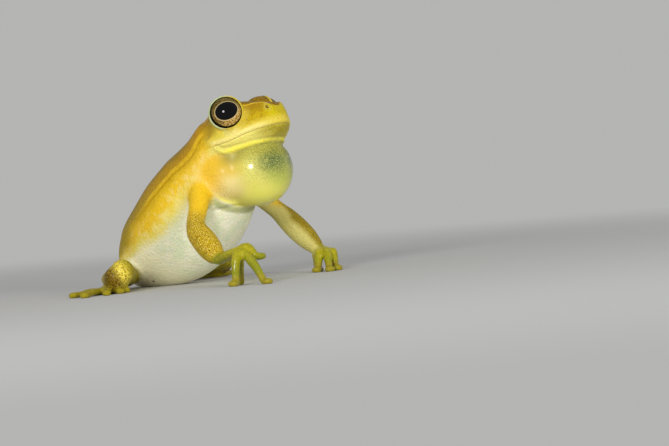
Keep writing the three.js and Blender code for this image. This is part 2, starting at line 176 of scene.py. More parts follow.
# Head: a blunt snout on a broad jaw, tilted up, with the left eye a little low. Its half sections run
# from the back of the head to the snout: distance ahead of the jaw corners, crown height, width and
# height of the ridge over the cheek, of the lip and of the lower jaw, and chin height.
JAW = np.array([9.0, 0, 12.3])
HEAD_PITCH, HEAD_ROLL = np.radians([12.7, 1.8])
FORWARD = np.array([np.cos(HEAD_PITCH), 0, np.sin(HEAD_PITCH)])
LEFTWARD = np.array([0, np.cos(HEAD_ROLL), 0]) + np.sin(HEAD_ROLL) * np.array([FORWARD[2], 0, -FORWARD[0]])
UPWARD = np.cross(FORWARD, LEFTWARD)
HEAD_STOPS = np.array([
    [-1.6, 2.9, 2.2, 2.3, 3.4, 0.2, 2.7, -1.6, -2.3],
    [0.0, 3.25, 2.3, 2.75, 3.95, -0.1, 3.0, -1.4, -2.0],
    [1.7, 3.35, 2.15, 2.95, 3.85, -0.15, 2.9, -1.3, -1.8],
    [3.1, 3.0, 2.15, 2.78, 3.35, 0.05, 2.5, -1.2, -1.6],
    [4.3, 2.58, 1.85, 2.45, 2.75, 0.2, 1.8, -0.85, -1.1],
    [5.1, 2.3, 1.7, 2.2, 2.25, 0.3, 1.2, -0.4, -0.55],
    [5.92, 1.75, 1.4, 1.6, 1.75, 0.35, 0.8, 0.0, -0.08],
])
HEAD_CORE = 0.42  # height that the head's ends close on
SNOUT_ROUND_WIDE = 1.7
SNOUT_ROUND_DEEP = 0.75
OCCIPUT_ROUND = 1.2
CHIN_WIDE, CHIN_DEEP = 0.62, 0.9  # where the jaw turns into the chin: shares of jaw width and chin depth
CHEEK_LIP, CHEEK_RIDGE, CHEEK_HIGH = 0.55, 0.5, 0.55  # shares of lip width, ridge width and ridge height
CROWN_DROP = 0.08  # of the crown half way to the ridge
HEAD_NET = 90, 96


def in_head(ahead, out, up):
    """Places from their distances ahead, out to the left and up in the head's own frame."""
    ahead, out, up = np.broadcast_arrays(ahead, out, up)
    return JAW + ahead[..., None] * FORWARD + out[..., None] * LEFTWARD + up[..., None] * UPWARD


def head_surface(rings, sides):
    """Rings across the head, at the mean of even shares and their quarter sine, so that they crowd towards
    the snout. Each is a smooth curve through chin, jaw, lip, cheek, ridge and crown, shrunk by quarter
    circles at the snout and the occiput."""
    turn = np.linspace(0, 1, rings + 1)[1:-1]
    share = (turn + np.sin(np.pi / 2 * turn)) / 2
    stops = spline(HEAD_STOPS, share)
    at, crown, ridge_out, ridge_up, lip_out, lip_up, jaw_out, jaw_up, chin = stops.T
    nought = np.zeros_like(at)
    half = np.stack([
        nought, chin,
        CHIN_WIDE * jaw_out, jaw_up + CHIN_DEEP * (chin - jaw_up),
        jaw_out, jaw_up,
        lip_out, lip_up,
        CHEEK_LIP * lip_out + CHEEK_RIDGE * ridge_out, lip_up + CHEEK_HIGH * (ridge_up - lip_up),
        ridge_out, ridge_up,
        ridge_out / 2, crown - CROWN_DROP,
        nought, crown,
    ], 1).reshape(len(at), -1, 2)
    columns = half.transpose(1, 0, 2).reshape(half.shape[1], -1)
    shares = np.linspace(0, 1, sides // 2 + 1)
    section = spline(columns, shares).reshape(len(shares), len(at), 2).transpose(1, 0, 2)
    mirrored = section[:, -2:0:-1] * [-1, 1]
    ring = np.concatenate([section, mirrored], 1)
    last = HEAD_STOPS[-1, 0]
    back = round_off(at - HEAD_STOPS[0, 0], OCCIPUT_ROUND)
    wide = ring[..., 0] * (back * round_off(last - at, SNOUT_ROUND_WIDE))[:, None]
    high = HEAD_CORE + (ring[..., 1] - HEAD_CORE) * (back * round_off(last - at, SNOUT_ROUND_DEEP))[:, None]
    points = in_head(at[:, None], wide, high)
    return net(points, in_head(HEAD_STOPS[0, 0], 0, HEAD_CORE), in_head(last, 0, HEAD_CORE))


flesh.append(head_surface(*HEAD_NET))

# Eye mounds: round swellings that hold the eyeballs, each of two balls, the larger one a little behind.
# The skin over each is opened later for its eye.
EYE_AHEAD, EYE_OUT, EYE_UP, EYE_RADIUS = 2.05, 3.1, 2.19, 1.44
GAZE = unit(np.array([0.52, 0.85, 0.08]))  # forward, outward, up
MOUNDS = (0, 1.6), (0.45, 1.66)  # places behind the eye's centre, and radii
MOUND_NET = 48, 64
SIDES = {"left": 1, "right": -1}


def ball(centre, radii, rings, sides):
    """Ellipsoid: the centre plus each radius times the sine and cosine of the two angles."""
    tilt = np.linspace(0, np.pi, rings + 1)[1:-1, None]
    turn = np.linspace(0, 2 * np.pi, sides, endpoint=False)
    way = np.stack([np.sin(tilt) * np.cos(turn), np.sin(tilt) * np.sin(turn), np.cos(tilt) + 0 * turn], -1)
    radii = np.broadcast_to(radii, 3)
    return net(centre + way * radii, centre + radii * UP, centre - radii * UP)


def looking(way, side):
    """A direction given in the head's frame for the left side, turned to either side."""
    return way[0] * FORWARD + side * way[1] * LEFTWARD + way[2] * UPWARD


gaze = {name: looking(GAZE, side) for name, side in SIDES.items()}
eye_at = {name: in_head(EYE_AHEAD, side * EYE_OUT, EYE_UP) for name, side in SIDES.items()}
for name in SIDES:
    for behind, radius in MOUNDS:
        flesh.append(ball(eye_at[name] - behind * gaze[name], radius, *MOUND_NET))

# Throat sac: a thin bag under the chin, blown up tight with air as the male calls. Behind it the loose
# skin of the throat is blown out too, as wide as the chest.
SAC_AT = np.array([11.3, 0, 9.7])
SAC_RADII = np.array([3.15, 3.25, 3.15])
THROAT_AT = np.array([9.1, 0, 9.65])
THROAT_RADII = np.array([3.1, 4.1, 2.85])
SAC_NET = 64, 96
flesh.append(ball(SAC_AT, SAC_RADII, *SAC_NET))
flesh.append(ball(THROAT_AT, THROAT_RADII, *SAC_NET))

# Arms: from shoulder to elbow to wrist, propped straight in front. The forearm is the thicker half. Each
# is one limb with a bend at the elbow.
ARM_JOINTS = {
    "right": ([7.3, -3.2, 8.8], [8.9, -7.1, 5.1], [12.2, -8.8, 2.3]),
    "left": ([7.3, 3.2, 8.8], [8.6, 7.5, 5.55], [11.6, 8.6, 1.95]),
}
ARM_ROUNDS = 0.9, 0.4
ARM_NET = 60, 40
UPPER_ARM = [[-0.25, 1.1, 1.1], [0.15, 1.0, 1.0], [0.5, 0.85, 0.85], [0.88, 0.84, 0.84]]
FOREARM = [[0.12, 1.0, 1.0], [0.36, 1.12, 1.08], [0.66, 1.08, 1.02], [0.9, 0.86, 0.76], [1.0, 0.72, 0.6]]


def between(start, end, profile):
    """Stops at shares of the way from one joint to the next, with their half width and depth."""
    start, end = np.asarray(start, float), np.asarray(end, float)
    return [[*(start + share * (end - start)), wide, deep, deep] for share, wide, deep in profile]


arms = {}
for name, (shoulder, elbow, wrist) in ARM_JOINTS.items():
    arms[name] = Limb(between(shoulder, elbow, UPPER_ARM) + between(elbow, wrist, FOREARM), ARM_ROUNDS)
    flesh.append(arms[name].surface(*ARM_NET))

# Hands: a short palm held off the floor and four fingers. Each finger arches down to a round sticky disc
# that lies flat, apart from the right hand's second finger, which is lifted.
KNUCKLES = {"right": [14.6, -9.2, 2.95], "left": [12.25, 8.4, 1.9]}
KNUCKLE_LINES = {"right": [-0.45, 0.89, 0], "left": [-0.85, -0.53, 0]}
FINGER_ROOTS = 0.75, 0.3, -0.15, -0.65  # places on the knuckle line, from the thumb side
FINGERTIPS = {  # on the floor, unless there is a height
    "right": [(13.3, -8.4), (16.7, -8.05, 2.35), (18.3, -10.0), (15.0, -11.4)],
    "left": [(12.3, 7.35), (12.5, 6.2), (14.05, 6.35), (14.05, 8.0)],
}
PALM_ROUNDS = 0.3, 0.45
PALM_NET = 24, 32
PALM = [[-0.15, 0.55, 0.46], [0.25, 0.66, 0.44], [0.7, 0.86, 0.42], [1.15, 0.84, 0.36]]
FINGER = 0.44, 0.38, 0.5, 0.55  # radii of root, shaft and disc, and height of the arch
FINGER_NET = 48, 24
SWELLING = (0.3, 1), (0.52, 1.12), (0.76, 0.95)  # along the shaft, in shares of its radius
DISC_OUTLINE = (0, 0.72), (0.5, 1), (1, 0.85)  # along the disc, in shares of its radius
DISC_HEIGHT, DISC_LENGTH, DISC_DEPTH = 0.22, 0.85, 0.3
DIGIT_ROUNDS = 0.3, 0.35


def digit(root, tip, root_radius, shaft, disc, arch):
    """Finger or toe: a slim shaft lifted by the arch times the sine of half a turn, with one swollen
    joint, and a wider flat stretch at the end, which lies on the floor."""
    heading = unit((tip - root) * [1, 1, 0])
    flat = tip - DISC_LENGTH * heading
    stops = [[*root, root_radius, root_radius, root_radius]]
    for share, size in SWELLING:
        at = root + share * (flat - root) + arch * np.sin(np.pi * share) * UP
        stops.append([*at, *[size * shaft] * 3])
    for share, width in DISC_OUTLINE:
        stops.append([*(flat + share * (tip - flat)), width * disc, DISC_DEPTH, DISC_DEPTH])
    return Limb(stops, DIGIT_ROUNDS)


for name, knuckle in KNUCKLES.items():
    wrist = ARM_JOINTS[name][2]
    flesh.append(Limb(between(wrist, knuckle, PALM), PALM_ROUNDS).surface(*PALM_NET))
    for tip, place in zip(FINGERTIPS[name], FINGER_ROOTS):
        root = np.add(knuckle, place * np.array(KNUCKLE_LINES[name]))
        tip = np.array([*tip, DISC_HEIGHT][:3])
        flesh.append(digit(root, tip, *FINGER).surface(*FINGER_NET))

# Legs: folded beside the belly, the shank tucked back against the thigh, over the foot. Thigh and shank
# are separate limbs that meet at the knee.
LEG_JOINTS = {
    "right": ([-2.5, -2.5, 1.0], [3.5, -11.1, 2.0], [-3.2, -4.0, 1.0]),
    "left": ([-2.2, 2.4, 1.0], [0.6, 11.3, 2.0], [-5.2, 3.3, 1.0]),
}
THIGH = [[-0.05, 1.15, 0.85], [0.2, 1.2, 0.88], [0.5, 1.2, 0.92], [0.8, 1.1, 1.05], [0.97, 0.98, 1.2]]
SHANK = [[-0.04, 0.86, 1.1], [0.2, 0.92, 0.92], [0.45, 0.92, 0.78], [0.75, 0.78, 0.66], [1.0, 0.58, 0.5]]
SHANK_START = -0.9, -0.1, -0.6  # from the knee: back, inward and down
THIGH_ROUNDS = 1.0, 1.1
SHANK_ROUNDS = 1.0, 0.6
THIGH_NET = 48, 48
SHANK_NET = 48, 40
thighs, shanks = {}, {}
for name, (hip, knee, heel) in LEG_JOINTS.items():
    thighs[name] = Limb(between(hip, knee, THIGH), THIGH_ROUNDS)
    shank_top = np.add(knee, np.multiply(SHANK_START, [1, SIDES[name], 1]))
    shanks[name] = Limb(between(shank_top, heel, SHANK), SHANK_ROUNDS)
    flesh.append(thighs[name].surface(*THIGH_NET))
    flesh.append(shanks[name].surface(*SHANK_NET))

# Feet: a long sole under the shank, then five toes with discs, flat on the floor. Thin webs join them,
# about as far as half their length.
ANKLES = {"right": (0.0, -8.5), "left": (-3.0, 8.5)}
FOOT_AIMS = {"right": 56, "left": 82}  # degrees from forward, outwards
SOLE_HEIGHT = 0.28
SOLE_ROUNDS = 0.5, 0.5
SOLE_NET = 24, 32
SOLE = [[0.0, 0.5, 0.3], [0.3, 0.52, 0.3], [0.7, 0.55, 0.29], [1.05, 0.72, 0.28]]
TOES = [(3.4, -32), (4.5, -16), (5.9, 0), (7.4, 16), (6.0, 32)]  # length, and degrees from the aim
TOE = 0.3, 0.28, 0.43, 0.08  # radii of root, shaft and disc, and height of the arch
TOE_START = 0.3  # ahead of the ankle
TOE_NET = 60, 24
WEB_ON_TOE, WEB_BETWEEN = 0.5, 0.36  # how far the web reaches, in shares of the toes' lengths
WEB_BEHIND = 0.2  # behind the ankle
WEB_BOTTOM, WEB_TOP = 0.02, 0.36
WEB_ROUNDING = (1.0, 0.5), (0.97, 0.85), (0.9, 1.0)  # shares of its outline and of its top


def web_surface(edge):
    """Flat plate between toes: its outline at the floor and again, a little smaller, at its top."""
    middle = edge.mean(0)
    rings = [(1.0, WEB_BOTTOM), *[(share, height * WEB_TOP) for share, height in WEB_ROUNDING]]
    points = np.stack([middle + share * (edge - middle) + height * UP for share, height in rings])
    return net(points, middle + WEB_BOTTOM * UP, middle + WEB_TOP * UP)


def web_edge(ankle, first, second):
    """Outline of the web between two toes, each given by its heading and length: from behind the ankle
    along the first toe, in to the dip between the toes, and out along the second toe."""
    (h0, l0), (h1, l1) = first, second
    halfway = (WEB_BETWEEN + WEB_ON_TOE) / 2
    return ankle * [1, 1, 0] + np.stack([
        -WEB_BEHIND * unit(h0 + h1),
        WEB_ON_TOE * l0 * h0,
        halfway * l0 * unit(3 * h0 + h1),
        WEB_BETWEEN * min(l0, l1) * unit(h0 + h1),
        halfway * l1 * unit(h0 + 3 * h1),
        WEB_ON_TOE * l1 * h1,
    ])


for name, side in SIDES.items():
    heel = np.array([*LEG_JOINTS[name][2][:2], SOLE_HEIGHT])
    ankle = np.array([*ANKLES[name], SOLE_HEIGHT])
    flesh.append(Limb(between(heel, ankle, SOLE), SOLE_ROUNDS).surface(*SOLE_NET))
    toes = []
    for length, turn in TOES:
        angle = np.radians(FOOT_AIMS[name] + turn)
        heading = np.array([np.cos(angle), side * np.sin(angle), 0])
        tip = ankle + length * heading
        tip[2] = DISC_HEIGHT
        flesh.append(digit(ankle + TOE_START * heading, tip, *TOE).surface(*TOE_NET))
        toes.append((heading, length))
    for first, second in zip(toes, toes[1:]):
        flesh.append(web_surface(web_edge(ankle, first, second)))

# Skin: one moist hide without a seam over all the flesh. It is grown as a fine even net round the bodies
# above, and then tightened over the hollows where they meet.
MM = 0.001
SKIN_NET = 0.184  # spacing of the even net
OUT_AND_BACK = 0.5, -0.52  # shares by which a point is moved to its neighbours' mean and back out
LIP_PART = -0.6, 0.8  # of the finer net: from this far ahead, and this far from the slit of the mouth
SNOUT_PART = 4.0, -0.4  # from this far ahead and up
HAND_PART = 4.6, 11, 5.5, 3.6  # reach from the knuckles, and limits ahead, out and up
EYE_PART = 2.15
SLIT_PART, NOSTRIL_PART, LID_PART = (0.2, 0.26), 0.5, 1.8  # of the finest net


def new_mesh(name, points, faces):
    mesh = bpy.data.meshes.new(name)
    mesh.from_pydata(points.tolist(), [], faces.tolist())
    mesh.polygons.foreach_set("use_smooth", np.ones(len(faces), bool))
    mesh.update()
    return mesh


def added(name, data):
    """Puts a mesh, a lamp or a camera into the scene."""
    made = bpy.data.objects.new(name, data)
    bpy.context.scene.collection.objects.link(made)
    return made


def read_mesh(mesh):
    points = np.empty(len(mesh.vertices) * 3)
    mesh.vertices.foreach_get("co", points)
    edges = np.empty(len(mesh.edges) * 2, int)
    mesh.edges.foreach_get("vertices", edges)
    return points.reshape(-1, 3), edges.reshape(-1, 2)


def mean_of_neighbours(points, edges):
    """For each point the mean of the points that an edge joins it to."""
    ends, others = edges.T.ravel(), edges.T[::-1].ravel()
    count = np.maximum(np.bincount(ends, minlength=len(points)), 1)
    sums = [np.bincount(ends, column[others], len(points)) for column in points.T]
    return np.stack(sums, 1) / count[:, None]


def normals_of(mesh, points):
    """Normals of a mesh once its points are moved to the given places."""
    mesh.vertices.foreach_set("co", points.ravel())
    mesh.update()
    normals = np.empty(len(points) * 3)
    mesh.vertex_normals.foreach_get("vector", normals)
    return normals.reshape(-1, 3)


def evened(points, edges, rounds):
    """Takes the ripple out of a net: each round moves a point half way to its neighbours' mean, and then
    slightly more than that back out, so that the body doesn't shrink."""
    for _ in range(rounds):
        for share in OUT_AND_BACK:
            points = points + share * (mean_of_neighbours(points, edges) - points)
    return points


def filled(points, edges, mesh, rounds, share):
    """Draws the skin across hollows: a point moves towards its neighbours' mean, by its share of the way,
    where that mean lies outside the surface, and nowhere else."""
    for _ in range(rounds):
        pull = mean_of_neighbours(points, edges) - points
        normals = normals_of(mesh, points)
        outward = np.clip((pull * normals).sum(1), 0, None)
        points = points + (share * outward)[:, None] * normals
    return points


def smooth_step(value, low, high):
    """0 below low, 1 above high, and 3t^2 - 2t^3 between, where t is the share of the way."""
    t = np.clip((value - low) / (high - low), 0, 1)
    return t * t * (3 - 2 * t)


def distances(points, centre):
    return np.linalg.norm(points - centre, axis=1)


def near(points, centre, radius):
    """1 up to 0.3 of the radius from the centre, falling smoothly to 0 at the radius."""
    return 1 - smooth_step(distances(points, centre), 0.3 * radius, radius)


counts = np.cumsum([0] + [len(points) for points, _ in flesh])
all_points = np.vstack([points for points, _ in flesh])
all_faces = np.vstack([faces + start for (_, faces), start in zip(flesh, counts)])
bodies = added("flesh", new_mesh("flesh", all_points, all_faces))
grown = bodies.modifiers.new("skin grown over the flesh", "REMESH")
grown.mode = "VOXEL"
grown.voxel_size = SKIN_NET
skin_mesh = bpy.data.meshes.new_from_object(bodies.evaluated_get(bpy.context.evaluated_depsgraph_get()))
bpy.data.objects.remove(bodies)

points, edges = read_mesh(skin_mesh)
points = evened(points, edges, rounds=8)
taut = near(points, in_head(0.8, 0, -2.4), 2.0)  # from chin to sac
for name, side in SIDES.items():
    shoulder, knee = np.array(ARM_JOINTS[name][0]), np.array(LEG_JOINTS[name][1])
    for centre, reach in (
        (shoulder + [0.4, side * 1.2, -0.6], 3.4),  # armpit
        (in_head(0.2, side * 3.0, -2.2), 3.2),  # from jaw to throat
        (in_head(-1.4, side * 2.6, 1.6), 2.6),  # nape
        (THROAT_AT + [1.6, side * 3.0, 0.4], 2.6),  # round the throat
        (THROAT_AT + [-1.2, side * 3.6, 1.2], 2.4),
        (THROAT_AT + [0.6, side * 3.0, 1.8], 2.2),
        (knee + [-0.7, -0.6 * side, -0.5], 3.0),  # hollow of the knee
        (np.array([-1.0, side * 3.2, 2.2]), 2.6),  # groin
    ):
        taut = np.maximum(taut, near(points, centre, reach))
points = filled(points, edges, skin_mesh, rounds=6, share=0.25)
points = filled(points, edges, skin_mesh, rounds=70, share=0.9 * taut)
points = evened(points, edges, rounds=2)


def refined(mesh, points, wanted):
    """Halves the net's spacing where it is wanted, and evens the new points there."""
    mesh.vertices.foreach_set("co", points.ravel())
    shape = bmesh.new()
    shape.from_mesh(mesh)
    shape.verts.ensure_lookup_table()
    picked = wanted(points)
    chosen = [e for e in shape.edges if picked[e.verts[0].index] and picked[e.verts[1].index]]
    bmesh.ops.subdivide_edges(shape, edges=chosen, cuts=1, use_grid_fill=True)
    finer = bpy.data.meshes.new(mesh.name)
    shape.to_mesh(finer)
    shape.free()
    points, edges = read_mesh(finer)
    still = ~wanted(points)
    evener = evened(points, edges, rounds=2)
    evener[still] = points[still]
    return finer, evener, edges


def head_place(points):
    """Ahead, out and up in the head's frame, with the right side folded onto the left."""
    offset = points - JAW
    return np.stack([offset @ FORWARD, np.abs(offset @ LEFTWARD), offset @ UPWARD], 1)


MOUTH_LINE = np.array([[-0.1, -0.38], [0.3, -0.36], [1.95, -0.37], [3.34, -0.13], [4.7, 0.04], [5.9, 0.17]])
NOSTRIL = np.array([5.05, 1.32, 1.7])  # ahead, out and up


def mouth_height(place):
    """Height over the slit of the mouth, which is level from side to side."""
    return place[:, 2] - np.interp(place[:, 0], *MOUTH_LINE.T)


def to_nearer(points, places):
    """Distance to the nearer of two places."""
    return np.minimum(*[distances(points, place) for place in places.values()])


def fine_parts(points):
    """Face, eyelids and hands."""
    place = head_place(points)
    lips = (place[:, 0] > LIP_PART[0]) & (np.abs(mouth_height(place)) < LIP_PART[1])
    snout = (place[:, 0] > SNOUT_PART[0]) & (place[:, 2] > SNOUT_PART[1])
    reach, ahead, out, up = HAND_PART
    hands = (points[:, 0] > ahead) & (np.abs(points[:, 1]) > out) & (points[:, 2] < up)
    hands &= to_nearer(points, KNUCKLES) < reach
    return lips | snout | hands | (to_nearer(points, eye_at) < EYE_PART)


def finest_parts(points):
    """The slit of the mouth, the nostrils and the rims of the eyelids."""
    place = head_place(points)
    slit = (place[:, 0] > SLIT_PART[0]) & (np.abs(mouth_height(place)) < SLIT_PART[1])
    nostrils = distances(place, NOSTRIL) < NOSTRIL_PART
    return slit | nostrils | (to_nearer(points, eye_at) < LID_PART)


skin_mesh, points, edges = refined(skin_mesh, points, fine_parts)
skin_mesh, points, edges = refined(skin_mesh, points, finest_parts)

# Relief of the skin: the slit of the mouth, the ridge from eye to nostril, ear drums, the raised line
# along each side of the back, and the creases of the throat and chest. Heights are in millimetres.
LINE_SAMPLES = 100
# Places in the head's frame: ahead, out and up.
CANTHUS = [(-0.66, 3.36, 1.37), (0.5, 2.9, 2.3), (1.9, 2.6, 2.8), (3.2, 2.3, 2.62), (3.82, 2.06, 2.44),
           (4.39, 1.79, 2.4), (4.93, 1.44, 2.3), (5.41, 0.99, 2.14), (5.68, 0.6, 1.98), (5.8, 0, 1.85)]
EAR = (-0.15, 3.7, 0.75)
THROAT_FOLD = [(0.2, 3.85, -0.5), (0.52, 3.81, -0.7), (1.0, 3.5, -1.05), (1.66, 3.27, -1.12),
               (2.28, 3.01, -1.1), (3.4, 2.36, -1.05), (4.24, 1.34, -1.05), (4.45, 0, -1.05)]
NOSTRIL_PIT = NOSTRIL + [0.2, -0.05, 0.12]
STRIPE = [(0.2, 60), (0.42, 61), (0.52, 61.5), (0.63, 63.5), (0.705, 65.5), (0.773, 71.4), (0.84, 75.6),
          (0.9, 75.5)]  # shares of the trunk's length, and degrees from its top
CHEST_CREASE = [(0.644, 130), (0.68, 148), (0.70, 164), (0.71, 180)]


def beside(points, line, above):
    """Distance to a smooth line through the given points, negative on the side away from above, and the
    share of the way along it. Between samples it is measured square to the line, past its ends to them."""
    fine = spline(line, np.linspace(0, 1, LINE_SAMPLES))
    along_line = unit(np.gradient(fine, axis=0))
    sample, last = nearest(points, fine), LINE_SAMPLES - 1
    offset = points - fine[sample]
    slide = (offset * along_line[sample]).sum(1)
    past_end = (sample == 0) & (slide < 0) | (sample == last) & (slide > 0)
    square = offset - np.where(past_end, 0, slide)[:, None] * along_line[sample]
    distance = np.linalg.norm(square, axis=1)
    return np.where(offset @ np.asarray(above) < 0, -distance, distance), sample / last


def ridge(distance, width):
    """Bell curve: 1 on the line, and 1/e at the width from it."""
    return np.exp(-((distance / width) ** 2))


def faded(share, start, end):
    """1 along a line, easing to 0 over the given shares at its start and its end."""
    return smooth_step(share, 0, start) * smooth_step(share, 1, 1 - end)


place = head_place(points)
ahead = place[:, 0]
folded = np.where([False, True, False], np.abs(points), points)
share, across, upward, off_trunk = trunk.place(points)
round_trunk = np.degrees(np.arctan2(np.abs(across), upward))

mouth = mouth_height(place)
has_mouth = smooth_step(ahead, -0.1, 0.5) * smooth_step(np.abs(mouth), 1.5, 1.0)
canthus, canthus_share = beside(place, CANTHUS, UP)
before_eye = smooth_step(canthus_share, 0.32, 0.42)
stripe_places = [trunk.point(*stop) for stop in STRIPE]
stripe, stripe_share = beside(folded, [*stripe_places, in_head(*CANTHUS[0])], (-0.6, -0.5, 0.6))
ear = distances(place, EAR)
throat_fold, throat_share = beside(place, THROAT_FOLD, UP)
chest_way = trunk.tangent[trunk.SAMPLES * 2 // 3]  # along the trunk, two thirds of the way up
chest_crease, chest_share = beside(folded, [trunk.point(*stop) for stop in CHEST_CREASE], chest_way)
nostril, nostril_pit = distances(place, NOSTRIL), distances(place, NOSTRIL_PIT)
on_throat_fold = faded(throat_share, 0.12, 0.02)
on_chest_crease = faded(chest_share, 0.1, 0.02)

relief = -0.03 * smooth_step(ear, 0.45, 0.3)
for strength, height, distance, width in (
    (has_mouth, -0.055, mouth, 0.06),  # slit
    (has_mouth, 0.03, mouth - 0.2, 0.14),  # lips
    (has_mouth, 0.02, mouth + 0.2, 0.12),
    (before_eye, 0.05, canthus, 0.17),  # ridge, and the hollow under it
    (before_eye, -0.06, canthus + 0.5, 0.35),
    (1, 0.16, nostril, 0.32),
    (1, -0.34, nostril_pit, 0.17),
    (1, 0.03, ear - 0.5, 0.12),  # ring round the ear drum
    (faded(stripe_share, 0.25, 0.04), 0.07, stripe, 0.3),
    (faded(stripe_share, 0.5, 0.04), -0.05, stripe + 0.55, 0.22),
    (on_throat_fold, 0.07, throat_fold, 0.16),  # fold, and the grooves beside it
    (on_throat_fold, -0.07, throat_fold - 0.36, 0.13),
    (on_throat_fold, -0.05, throat_fold + 0.36, 0.13),
    (on_chest_crease, 0.12, chest_crease - 0.35, 0.35),
    (on_chest_crease, -0.12, chest_crease, 0.13),
):
    relief += strength * height * ridge(distance, width)
points += relief[:, None] * normals_of(skin_mesh, points)

# Eyelids: a firm pale rim stands round each eyeball. The skin over the eye is turned inwards there, so
# that it lines the socket behind the eyeball.
LID_ANGLE = 77.0  # degrees from the gaze to the middle of the rim
LID_TURN = 10.0  # degrees of skin that roll over the rim
LID_OUTER, SOCKET = 1.6, 1.46
LID_BLEND = 22.0  # degrees over which the rim runs out into the skin of the mound
LID_BULGE = 1.3  # how far the rim leans over the eyeball, in shares of its half thickness
LID_SKIN = 1.2, 2.2  # distances from the eye's centre between which the skin is shaped
RIM_FADE = 9.0, 3.0  # degrees outside the rim's middle over which its own colour comes in
middle, thick = (LID_OUTER + SOCKET) / 2, (LID_OUTER - SOCKET) / 2
rim_start = LID_ANGLE - LID_TURN
lid, lid_ahead = np.zeros((2, len(points)))
for name in SIDES:
    offset = points - eye_at[name]
    distance = np.linalg.norm(offset, axis=1)
    towards = offset @ gaze[name]
    outward = unit(offset - towards[:, None] * gaze[name])
    angle = np.degrees(np.arccos(np.clip(towards / np.maximum(distance, 1e-9), -1, 1)))
    roll = np.radians(180 * np.clip((LID_ANGLE - angle) / LID_TURN, 0, 1))
    lining = np.clip((rim_start - angle) / rim_start, 0, 1)
    lean = np.degrees(LID_BULGE * thick / middle * np.sin(roll))
    turned = LID_ANGLE - lean + lining * (180 - LID_ANGLE)
    outside = smooth_step(angle, LID_ANGLE, LID_ANGLE + LID_BLEND)
    beyond = angle > LID_ANGLE
    radius = np.where(beyond, LID_OUTER + outside * (distance - LID_OUTER), middle + thick * np.cos(roll))
    turned = np.radians(np.where(beyond, angle, turned))
    bent = np.cos(turned)[:, None] * gaze[name] + np.sin(turned)[:, None] * outward
    by_eye = distance < LID_SKIN[1]
    moved = by_eye & (distance > LID_SKIN[0]) & (angle < LID_ANGLE + LID_BLEND)
    points[moved] = (eye_at[name] + radius[:, None] * bent)[moved]
    lid = np.maximum(lid, by_eye * smooth_step(angle - LID_ANGLE, *RIM_FADE))
    lid_ahead = np.where(by_eye, outward @ (FORWARD - 0.3 * UPWARD), lid_ahead)

points[:, 2] = np.maximum(points[:, 2], 0)  # the floor
skin_mesh.vertices.foreach_set("co", (points * MM).ravel())
skin_mesh.polygons.foreach_set("use_smooth", np.ones(len(skin_mesh.polygons), bool))
skin_mesh.update()
skin = added("skin", skin_mesh)

# Markings of the skin, and the places of its painted shade and light, as fields over its points that its
# colours are then mixed by. Shares are 0 to 1, the signed fields are millimetres from a line, and girth
# goes from 0 on the stripe to 1 where the white of the belly starts.
WHITE_EDGE = np.array([(0.2, 92), (0.316, 94.5), (0.385, 99.4), (0.454, 102.5), (0.524, 105), (0.645, 104.8),
                       (0.708, 106.7), (0.784, 112.5), (0.85, 125), (0.92, 150), (1.0, 170)])
# The sac's dark patch is painted shade: the shaded inside of the sac, seen through its thin skin.
SAC_SHADE_WAY = unit(np.array([0.9, 0.27, 0.25]))  # way from the sac's centre to its dark patch
SHADE_NARROWING, SHADE_WIDTH = 0.55, 0.42  # of the way from side to side, and in radians
BLUSH = np.array([8.6, 3.6, 9.0])  # warm pale patch ahead of the shoulder
BY_HAND = 6.0  # reach of the hand's colours from its knuckles
FAR = 99.0

stripe_angle = np.interp(share, *np.array(STRIPE).T)
white_angle = np.interp(share, *WHITE_EDGE.T)
from_sac = points - SAC_AT
sac_way = unit(from_sac)
off_sac = (np.linalg.norm(from_sac / SAC_RADII, axis=1) - 1) * SAC_RADII.mean()
off_throat = (np.linalg.norm((points - THROAT_AT) / THROAT_RADII, axis=1) - 1) * THROAT_RADII.mean()
off_sac = np.minimum(off_sac, off_throat)
shade_way = unit(np.where([False, True, False], SHADE_NARROWING * np.abs(sac_way), sac_way))

off_arm, arm_share, off_thigh, off_shank = np.full((4, len(points)), FAR)
arm_pale, arm_top, on_hand, on_finger, knee_end = np.zeros((5, len(points)))
for name, side in SIDES.items():
    on_side = points[:, 1] * side > -1
    along_arm, over, above, off = arms[name].place(points)
    closer = on_side & (off < off_arm)
    outer = above * 0.75 + side * over * 0.65 * smooth_step(along_arm, 0.4, 0.6)
    off_arm = np.where(closer, off, off_arm)
    arm_share = np.where(closer, along_arm, arm_share)
    arm_pale = np.where(closer, smooth_step(outer, 0.1, -0.55), arm_pale)
    shoulder, elbow, wrist = np.array(ARM_JOINTS[name])
    past_wrist = (points - wrist) @ unit(wrist - elbow)
    from_knuckles = distances(points, KNUCKLES[name])
    by_hand = from_knuckles < BY_HAND
    on_hand = np.maximum(on_hand, smooth_step(past_wrist, -0.5, 0.3) * by_hand)
    on_finger = np.maximum(on_finger, smooth_step(from_knuckles, 0.9, 2.4) * by_hand)
    # painted shade: the top of the left arm, which lies away from the light
    arm_top = np.where(closer & (name == "left"), smooth_step(above, 0.15, 0.6), arm_top)
    off_thigh = np.minimum(off_thigh, np.where(on_side, thighs[name].place(points)[-1], FAR))
    off_shank = np.minimum(off_shank, np.where(on_side, shanks[name].place(points)[-1], FAR))
    knee = np.add(LEG_JOINTS[name][1], [0, side * 0.5, 0])
    knee_end = np.maximum(knee_end, near(points, knee, 3.0))

